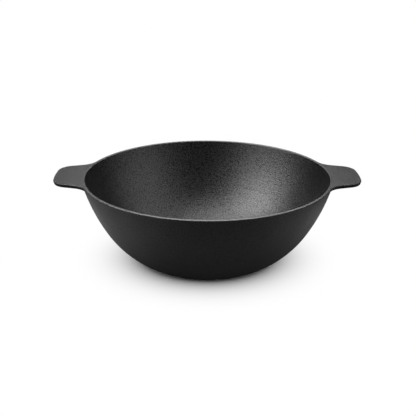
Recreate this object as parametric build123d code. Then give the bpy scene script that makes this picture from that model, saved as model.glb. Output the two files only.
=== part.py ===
"""A cast-iron kadai: a deep round bowl on a small flat foot, with two flat lug handles level with its rim.

The real pan is a single casting. It is drawn whole first, so that the wall, the rim and the lugs run into one
another, and it is then parted at a flat seat beside the rim into the bowl and its two handles.
The origin is the middle of the foot, on the surface that the pan stands on. +Z is up and the lugs lie along X.
"""

import os
from math import atan2, cos, degrees, radians, sin, sqrt, tan

from build123d import *

# Bowl, in millimetres
rim_radius = 140.0
height = 100.0
foot_radius = 61.5
foot_round = 6.0
wall = 3.6
floor_gain = 1.0
floor_round = 40.0

# Slopes of the outer wall in degrees above level, where it leaves the foot and where it ends in the rim
foot_angle = 22.0
rim_angle = 73.0

# Part of the wall's turn that the tight lower curve takes, against the slacker upper one
belly_share = 0.58

# Lug handles: length past the rim, width across the end, and how far each side flares towards the rim
lug_length = 30.7
lug_width = 58.4
lug_thickness = 4.2
lug_flare_angle = 16.1
lug_corner_round = 18.5
lug_root_round = 21.0
under_round = 4.0
root_slope_angle = 45.0

# The foundry's rounding of every open edge
edge_round = 0.9

# How far a cut runs past what it cuts
overrun = 5.0

lug_reach = rim_radius + lug_length
lip_depth = lug_thickness + under_round
floor = wall + floor_gain
seat = rim_radius + under_round


def along(angle):
    """Unit vector that climbs outwards at an angle, in a section drawn as radius and height."""
    return Vector(cos(radians(angle)), sin(radians(angle)))


def inward(angle):
    """Unit vector square to that one, towards the inside of the bowl."""
    return Vector(-sin(radians(angle)), cos(radians(angle)))


def wall_radius(depth):
    """Outer radius of the straight lip, a given depth under the rim."""
    return rim_radius - depth / tan(radians(rim_angle))


def meeting_point(start, end, start_angle, end_angle, share):
    """Point and slope where two arcs meet smoothly between two ends whose slopes are given."""
    chord = end - start
    first = along(start_angle)
    last = along(end_angle)
    ratio = share / (1 - share)
    square = 2 * ratio * (1 - first.dot(last))
    linear = 2 * chord.dot(first * ratio + last)
    reach = (sqrt(linear**2 + 4 * square * chord.dot(chord)) - linear) / (2 * square)
    low = start + first * (ratio * reach)
    high = end - last * reach
    slope = degrees(atan2((high - low).Y, (high - low).X))
    return low + (high - low) * share, slope


# The outer wall leaves the foot at its heel, changes curve at the belly and runs straight in the lip
heel = Vector(foot_radius, foot_round) - inward(foot_angle) * foot_round
lip = Vector(wall_radius(lip_depth), height - lip_depth)
belly, belly_angle = meeting_point(heel, lip, foot_angle, rim_angle, belly_share)


def wall_curve(inset):
    """The wall's two arcs, moved inwards by a thickness, with their first and last points."""
    start = heel + inward(foot_angle) * inset
    middle = belly + inward(belly_angle) * inset
    end = lip + inward(rim_angle) * inset
    lower = TangentArc([start, middle], tangent=along(foot_angle))
    upper = TangentArc([middle, end], tangent=along(belly_angle))
    return [lower, upper], start, end


def turned(section):
    """A section drawn as radius and height, turned about the upright axis."""
    return revolve(Plane.XZ * section, Axis.Z, 360)


def outer_form():
    """The bowl as if solid, up to the flat of its rim."""
    arcs, start, end = wall_curve(0)
    top = Vector(rim_radius, height)
    foot = Line((0, 0), (foot_radius, 0))
    foot_edge = TangentArc([(foot_radius, 0), start], tangent=(1, 0))
    closing = Polyline(end, top, (0, height), (0, 0))
    return turned(make_face([foot, foot_edge, *arcs, *closing.edges()]))


def hollow():
    """The space that holds the food: an even wall, a flat floor and a wide round between the two."""
    arcs, start, end = wall_curve(wall)
    climb = (height + overrun - end.Y) / sin(radians(rim_angle))
    top = end + along(rim_angle) * climb
    closing = Polyline(end, top, (0, top.Y), (0, start.Y), start)
    space = make_face([*arcs, *closing.edges()])
    above_floor = Rectangle(lug_reach, height + overrun, align=(Align.MIN, Align.MIN))
    space = space & Pos(0, floor) * above_floor
    corner = space.vertices().group_by(Axis.Y)[0].sort_by(Axis.X)[-1]
    return turned(fillet(corner, floor_round))


def plan_outline():
    """The pan seen from above: the rim's circle and the lugs, whose ends are round about the same centre."""
    tip = lug_width / 2
    root = tip + lug_reach * tan(radians(lug_flare_angle))
    blank = make_face(Polyline((0, -root), (lug_reach, -tip), (lug_reach, tip), (0, root), close=True))
    lug = blank & Circle(lug_reach)
    outline = Circle(rim_radius) + lug + mirror(lug, Plane.YZ)
    rings = outline.vertices().group_by(lambda corner: Vector(corner.X, corner.Y).length)
    rounded = fillet(rings[-1], lug_corner_round)
    rings = rounded.vertices().group_by(lambda corner: abs(Vector(corner.X, corner.Y).length - rim_radius))
    return fillet(rings[0], lug_root_round)


def lug_plate():
    """The rim's disc with both lugs. Its sides lean as the lip does, so that they run into the wall."""
    outline = Pos(0, 0, height) * plan_outline()
    plate = extrude(outline, amount=lug_thickness, dir=(0, 0, -1), taper=90 - rim_angle)
    return fillet(plate.edges().group_by(Axis.Z)[0], edge_round)


def lug_roots():
    """The rounded metal under each lug where it grows from the wall, sloped off at its two ends."""
    underside = height - lug_thickness
    far = lug_reach + overrun
    knee = (wall_radius(lug_thickness), underside)
    section = make_face(
        Polyline((0, height), (far, height), (far, underside), knee, lip, (0, lip.Y), close=True)
    )
    corner = section.vertices().sort_by_distance(Vector(*knee))[0]
    ring = turned(fillet(corner, under_round))
    footprint = Pos(0, 0, underside) * Rectangle(2 * far, lug_width)
    return ring & extrude(footprint, amount=under_round, dir=(0, 0, -1), taper=root_slope_angle)


def cast_pan():
    """The whole casting, with the edges of its rim rounded inside and out."""
    pan = outer_form() + lug_plate() + lug_roots() - hollow()
    return fillet(pan.edges().group_by(Axis.Z)[-1], edge_round)


def part_at_seats(pan):
    """The bowl and the two handles, which meet face to face on the seats beside the rim."""
    right_seat = Plane.YZ.offset(seat)
    left_seat = -Plane.YZ.offset(-seat)
    right_handle = split(pan, bisect_by=right_seat, keep=Keep.TOP)
    left_handle = split(pan, bisect_by=left_seat, keep=Keep.TOP)
    bowl = split(split(pan, bisect_by=right_seat, keep=Keep.BOTTOM), bisect_by=left_seat, keep=Keep.BOTTOM)
    return {"bowl": bowl, "left_handle": left_handle, "right_handle": right_handle}


os.makedirs("parts", exist_ok=True)
for name, piece in part_at_seats(cast_pan()).items():
    piece.label = name
    export_step(piece, f"parts/{name}.step")
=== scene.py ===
"""The looks of a cast-iron kadai: its seasoned skin, inside and out, on a white studio table.

The pan is one casting, so its three CAD solids keep their shape and share one skin. It is laid out in Object
coordinates, so it runs on without a break from the bowl into its handles. Everything is in metres, with +Z up.
"""

from math import cos, pi, radians, sin

import bmesh
import bpy
from mathutils import Matrix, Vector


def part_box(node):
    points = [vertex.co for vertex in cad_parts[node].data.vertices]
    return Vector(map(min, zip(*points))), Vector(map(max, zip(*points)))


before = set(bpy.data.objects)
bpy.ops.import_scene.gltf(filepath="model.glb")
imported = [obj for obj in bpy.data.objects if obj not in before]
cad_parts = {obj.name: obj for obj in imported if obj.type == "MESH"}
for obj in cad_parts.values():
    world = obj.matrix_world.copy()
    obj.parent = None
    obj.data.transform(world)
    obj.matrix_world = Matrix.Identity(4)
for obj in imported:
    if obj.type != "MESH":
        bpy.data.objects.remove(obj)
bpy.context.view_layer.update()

# Seasoned iron skin
# The pan is poured grey iron with a baked-on oil seasoning, near black and half glossy. The sand of the mould
# printed the grain: deep glossy pebbles inside, a shallow and duller tooth outside. The flat of the rim and of
# the lugs was dressed level after casting, so it is smoother; its tone is painted lighter for the top light it
# catches.
inside_pits, inside_tops = (0.0082, 0.0082, 0.0082, 1), (0.0225, 0.0225, 0.0228, 1)
outside_pits, outside_tops = (0.0105, 0.0101, 0.0097, 1), (0.0155, 0.0149, 0.0143, 1)
# Painted top light: the dressed flats get a lighter tone for the light they catch facing up.
dressed_pits_painted_lighter, dressed_tops_painted_lighter = (0.0600, 0.0600, 0.0608, 1), (0.1100, 0.1100, 0.1115, 1)
# Painted highlight along the rim, away from the lugs.
rim_painted_highlight_tone = (0.1080, 0.1080, 0.1088, 1)
# Painted shade under the lugs.
under_lug_painted_shade = (0.0020, 0.0020, 0.0020, 1)

# Roughness from the pits to the tops, but outside from thin patches of the skin to thick ones
inside_roughness, outside_roughness, dressed_roughness = (0.32, 0.40), (0.53, 0.47), (0.36, 0.28)
under_lug_roughness, outer_round_roughness = 0.85, 0.7
inside_metal, outside_metal, dressed_metal = (0.88, 0.02), (0.58, 0.34), 0

pebble_size, tooth_size, patch_size = 0.0012, 0.0013, 0.030
pebble_height, tooth_height, dressed_height = 0.00016, 0.00010, 0.00005
pebble_smoothness, sand_roughness, grain_reach = 0.6, 0.6, 0.4

rim_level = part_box("bowl")[1].z
edge_round = 0.0009


def add(kind, **settings):
    """A new node in the tree at hand."""
    node = tree.nodes.new(kind)
    for name, value in settings.items():
        setattr(node, name, value)
    return node


def feed(socket, source):
    """Give a socket its number, vector or colour, or link another node's output to it."""
    if isinstance(source, bpy.types.NodeSocket):
        tree.links.new(source, socket)
    else:
        socket.default_value = source


def worked(operation, *terms):
    """A number worked out from one or two others."""
    node = add("ShaderNodeMath", operation=operation)
    for socket, term in zip(node.inputs, terms):
        feed(socket, term)
    return node.outputs["Value"]


def worked_vector(operation, *terms):
    """Node that works out a vector, or a number in Value, from vectors."""
    node = add("ShaderNodeVectorMath", operation=operation)
    for socket, term in zip(node.inputs, terms):
        feed(socket, term)
    return node


def ramp(value, start, end, interpolation="SMOOTHSTEP"):
    """0 up to start and 1 from end on."""
    node = add("ShaderNodeMapRange", interpolation_type=interpolation)
    feed(node.inputs["Value"], value)
    feed(node.inputs["From Min"], start)
    feed(node.inputs["From Max"], end)
    return node.outputs["Result"]


def blend_values(mask, low, high, data_type="FLOAT"):
    """A number that goes from low to high as the mask does."""
    node = add("ShaderNodeMix", data_type=data_type)
    feed(node.inputs["Factor"], mask)
    feed(node.inputs["A"], low)
    feed(node.inputs["B"], high)
    return node.outputs["Result"]


def blend_tones(mask, low, high):
    """A colour that goes from low to high as the mask does."""
    return blend_values(mask, low, high, data_type="RGBA")


def noise(position, scale, detail, roughness):
    """Noise at a scale, which is one over its size in metres."""
    node = add("ShaderNodeTexNoise")
    feed(node.inputs["Vector"], position)
    feed(node.inputs["Scale"], scale)
    feed(node.inputs["Detail"], detail)
    feed(node.inputs["Roughness"], roughness)
    return node.outputs["Fac"]


# Node group for the print of the mould's sand, from 0 in the pits to 1 on the tops, at a given pebble size
tree = grain = bpy.data.node_groups.new("cast_grain", "ShaderNodeTree")
grain.interface.new_socket("Position", in_out="INPUT", socket_type="NodeSocketVector")
grain.interface.new_socket("Pebble Size", in_out="INPUT", socket_type="NodeSocketFloat")
grain.interface.new_socket("Grain", in_out="OUTPUT", socket_type="NodeSocketFloat")
given = add("NodeGroupInput")
scale = worked("DIVIDE", 1, given.outputs["Pebble Size"])
cells = add("ShaderNodeTexVoronoi", feature="SMOOTH_F1")
feed(cells.inputs["Vector"], given.outputs["Position"])
feed(cells.inputs["Scale"], scale)
feed(cells.inputs["Smoothness"], pebble_smoothness)
sand = noise(given.outputs["Position"], scale, 3, sand_roughness)
print_of_sand = worked("SUBTRACT", sand, cells.outputs["Distance"])
print_of_sand = ramp(print_of_sand, -grain_reach, grain_reach, "LINEAR")
feed(add("NodeGroupOutput").inputs["Grain"], print_of_sand)

skin = bpy.data.materials.new("seasoned_iron")
skin.use_nodes = True
tree = skin.node_tree
shader = tree.nodes["Principled BSDF"]
shader.inputs["IOR"].default_value = 1.5
shader.inputs["Specular IOR Level"].default_value = 0.7

place = add("ShaderNodeTexCoord")
spot = add("ShaderNodeSeparateXYZ")
facing = add("ShaderNodeSeparateXYZ")
feed(spot.inputs["Vector"], place.outputs["Object"])
feed(facing.inputs["Vector"], place.outputs["Normal"])
height, upward = spot.outputs["Z"], facing.outputs["Z"]
from_middle = worked("ABSOLUTE", spot.outputs["X"])

# Inside and tops face up, and the outer wall faces down. The dressed flat is where the skin looks straight up,
# and away from the lugs the rim gets a painted highlight, a brighter tone for the light it catches. The rim's
# outer round and the skin under the lugs stay matt, and under the lugs the tone is a painted shade.
slope_of_tops, slope_of_flat, slope_of_outer_round = (0.02, 0.12), (0.75, 0.97), (0.03, 0.09)
end_of_rim_highlight, start_under_lugs = (0.137, 0.118), (0.128, 0.142)
facing_up = ramp(upward, *slope_of_tops)
level_with_rim = ramp(height, rim_level - edge_round / 5, rim_level - edge_round / 20)
dressed_with_painted_top_light = worked("MULTIPLY", level_with_rim, ramp(upward, *slope_of_flat))
away_from_lugs = ramp(from_middle, *end_of_rim_highlight)
rim_painted_highlight = worked("MULTIPLY", dressed_with_painted_top_light, away_from_lugs)
level_part = worked_vector("MULTIPLY", place.outputs["Object"], (1, 1, 0)).outputs["Vector"]
outward = worked_vector("DOT_PRODUCT", level_part, place.outputs["Normal"]).outputs["Value"]
near_rim = ramp(height, rim_level - edge_round, rim_level - edge_round / 3)
outer_round = worked("MULTIPLY", near_rim, ramp(outward, *slope_of_outer_round))
under_lugs = blend_values(facing_up, ramp(from_middle, *start_under_lugs), 0)


def laid(size):
    """The cast grain laid over the pan, with its pebbles at their real size."""
    node = add("ShaderNodeGroup", node_tree=grain)
    feed(node.inputs["Position"], place.outputs["Object"])
    feed(node.inputs["Pebble Size"], size)
    return node.outputs["Grain"]


pebbles = laid(pebble_size)
tooth = laid(tooth_size)
thick_patches = ramp(noise(place.outputs["Object"], 1 / patch_size, 4, 0.55), 0.3, 0.7, "LINEAR")

outside_tone = blend_tones(tooth, outside_pits, outside_tops)
# Painted shade under the lugs.
outside_tone = blend_tones(under_lugs, outside_tone, under_lug_painted_shade)
tone = blend_tones(facing_up, outside_tone, blend_tones(pebbles, inside_pits, inside_tops))
# Painted top light on the dressed flats.
tone = blend_tones(dressed_with_painted_top_light, tone, blend_tones(tooth, dressed_pits_painted_lighter, dressed_tops_painted_lighter))
# Painted highlight along the rim.
tone = blend_tones(rim_painted_highlight, tone, rim_painted_highlight_tone)
feed(shader.inputs["Base Color"], tone)

# The pits between the grains lie in their own shade and don't shine. A dark metal reflects only its own colour,
# so a high share of it holds them back, and a low share leaves the tops their gloss.
dark_metal = blend_values(tooth, *outside_metal)
dark_metal = blend_values(facing_up, dark_metal, blend_values(pebbles, *inside_metal))
dark_metal = blend_values(dressed_with_painted_top_light, dark_metal, dressed_metal)
feed(shader.inputs["Metallic"], dark_metal)

roughness = blend_values(under_lugs, blend_values(thick_patches, *outside_roughness), under_lug_roughness)
roughness = blend_values(facing_up, roughness, blend_values(pebbles, *inside_roughness))
roughness = blend_values(dressed_with_painted_top_light, roughness, blend_values(tooth, *dressed_roughness))
roughness = blend_values(outer_round, roughness, outer_round_roughness)
feed(shader.inputs["Roughness"], roughness)

inside_relief = worked("MULTIPLY", pebbles, pebble_height)
outside_relief = worked("MULTIPLY", tooth, tooth_height)
dressed_relief = worked("MULTIPLY", tooth, dressed_height)
relief = blend_values(dressed_with_painted_top_light, blend_values(facing_up, outside_relief, inside_relief), dressed_relief)
bump = add("ShaderNodeBump")
feed(bump.inputs["Distance"], 1)
feed(bump.inputs["Height"], relief)
feed(shader.inputs["Normal"], bump.outputs["Normal"])

# The casting
# Bowl and handles are one pour of iron. The CAD solids already carry its true form, with every edge rounded,
# so they stay as they are and only take the skin.
for name in ("bowl", "left_handle", "right_handle"):
    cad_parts[name].data.materials[0] = skin

# Table and backdrop
# A white sweep with no edge. By the foot it is plain paper that keeps the pan's soft shadow, and further out
# it goes over into the pure white of the backdrop. In the pan's gloss it shows a painted reflection: a glowing
# ring that stands in for lit paper, brighter at the sides where the boxes stand and dim in front, with a
# painted shadow inside it round the foot.
paper_white = (0.95, 0.95, 0.95, 1)
shadow_stretch, shadow_shift = (0.94, 1, 0), (0, -0.008, 0)
shadow_edge, shadow_core, shadow_fade = 0.157, 0.074, 3
# Painted glow of the table as the pan's gloss sees it, in front and at each side.
front_painted_glow, left_painted_glow, right_painted_glow = 0.29, 0.79, 0.60
start_of_left, start_of_right = (-0.03, -0.20), (0.07, 0.20)
ring_inner_edge, ring_outer_edge = (0.055, 0.19), (0.30, 0.21)

table = bmesh.new()
bmesh.ops.create_grid(table, x_segments=1, y_segments=1, size=6)
table_mesh = bpy.data.meshes.new("table_top")
table.to_mesh(table_mesh)
table_top = bpy.data.objects.new("table_top", table_mesh)
bpy.context.scene.collection.objects.link(table_top)

paper = bpy.data.materials.new("white_paper")
paper.use_nodes = True
paper.cycles.emission_sampling = "NONE"
tree = paper.node_tree
tree.nodes.remove(tree.nodes["Principled BSDF"])
place = add("ShaderNodeTexCoord")
ray = add("ShaderNodeLightPath")
spot = add("ShaderNodeSeparateXYZ")
feed(spot.inputs["Vector"], place.outputs["Object"])
sideways = spot.outputs["X"]
matt = add("ShaderNodeBsdfDiffuse")
feed(matt.inputs["Color"], paper_white)

oval = worked_vector("MULTIPLY_ADD", place.outputs["Object"], shadow_stretch, shadow_shift)
distance = worked_vector("LENGTH", oval.outputs["Vector"]).outputs["Value"]
shadow = worked("POWER", ramp(distance, shadow_edge, shadow_core, "LINEAR"), shadow_fade)
seen_white = worked("MULTIPLY", worked("SUBTRACT", 1, shadow), ray.outputs["Is Camera Ray"])
# Painted reflection: the table glows in the pan's gloss, with painted shadow inside the ring round the foot.
painted_glow = blend_values(ramp(sideways, *start_of_left), front_painted_glow, left_painted_glow)
painted_glow = blend_values(ramp(sideways, *start_of_right), painted_glow, right_painted_glow)
ring = worked("MULTIPLY", ramp(distance, *ring_inner_edge), ramp(distance, *ring_outer_edge))
painted_glow = worked("MULTIPLY", painted_glow, ring)

glow = add("ShaderNodeEmission")
feed(glow.inputs["Strength"], blend_values(ray.outputs["Is Glossy Ray"], 1, painted_glow))
mixed = add("ShaderNodeMixShader")
feed(mixed.inputs["Fac"], blend_values(ray.outputs["Is Glossy Ray"], seen_white, 1))
feed(mixed.inputs[1], matt.outputs["BSDF"])
feed(mixed.inputs[2], glow.outputs["Emission"])
feed(tree.nodes["Material Output"].inputs["Surface"], mixed.outputs["Shader"])
table_mesh.materials.append(paper)

# Room
# The camera sees the white backdrop. Matt surfaces are lit evenly by the whole room, and glossy ones see only
# the boxes and the table, as in a dark studio.
matt_light, gloss_light, backdrop_light = 0.6, 0, 1

world = bpy.data.worlds.new("studio")
bpy.context.scene.world = world
world.use_nodes = True
world.cycles.sampling_method = "NONE"
tree = world.node_tree
ray = add("ShaderNodeLightPath")
backdrop = worked("MAXIMUM", ray.outputs["Is Camera Ray"], ray.outputs["Is Transmission Ray"])
strength = blend_values(ray.outputs["Is Glossy Ray"], matt_light, gloss_light)
strength = blend_values(backdrop, strength, backdrop_light)
feed(tree.nodes["Background"].inputs["Color"], (1, 1, 1, 1))
feed(tree.nodes["Background"].inputs["Strength"], strength)

# Softboxes
# White cloth boxes round the pan, all at one distance from it. They give the pan's gloss its shapes, and the
# room gives the matt light.
aim = Matrix.Translation((0, 0, 0.06))
reach = Matrix.Translation((0, 0, 1.3))


def softbox(name, side, climb, size, power):
    """A square softbox that looks at the pan from a side and a climb above level, both in degrees.

    A side of 0 is the camera's, and 90 is the right.
    """
    lamp = bpy.data.lights.new(name, "AREA")
    lamp.shape = "SQUARE"
    lamp.size = size
    lamp.energy = power
    stand = bpy.data.objects.new(name, lamp)
    bpy.context.scene.collection.objects.link(stand)
    turn = Matrix.Rotation(radians(side), 4, "Z") @ Matrix.Rotation(radians(90 - climb), 4, "X")
    stand.matrix_world = aim @ turn @ reach
    stand.visible_diffuse = False


softbox("left_box", -85, 48, 1.0, 16.9)
softbox("left_low_box", -90, 40, 0.6, 7)
softbox("left_high_box", -90, 60, 0.6, 5.7)
softbox("left_front_box", -60, 30, 0.6, 4.1)
softbox("right_box", 85, 37, 1.2, 7.5)
softbox("right_front_box", 60, 20, 0.6, 1.2)
softbox("right_back_box", 120, 40, 0.6, 1.5)
softbox("top_box", 180, 85, 0.6, 7.9)
softbox("back_high_box", 180, 65, 0.6, 3.4)
softbox("back_box", 180, 45, 0.6, 6.7)

# Camera
# It stands where the photograph was taken: 21 degrees above the table, 0.89 m from the middle of the pan.
swing, elevation, roll = radians(-0.827), radians(20.883), radians(0.310)
camera_distance = 0.8885
aim_side, aim_height = 0.00077, 0.06008

lens = bpy.data.cameras.new("camera")
lens.sensor_width = 36
lens.lens = 67.53
camera = bpy.data.objects.new("camera", lens)
bpy.context.scene.collection.objects.link(camera)
back, up = camera_distance * cos(elevation), camera_distance * sin(elevation)
stand = Matrix.Translation((aim_side, -back, aim_height + up))
tilt = Matrix.Rotation(pi / 2 - elevation, 4, "X")
camera.matrix_world = Matrix.Rotation(swing, 4, "Z") @ stand @ tilt @ Matrix.Rotation(roll, 4, "Z")
bpy.context.scene.camera = camera

bpy.context.scene.view_settings.view_transform = "Standard"
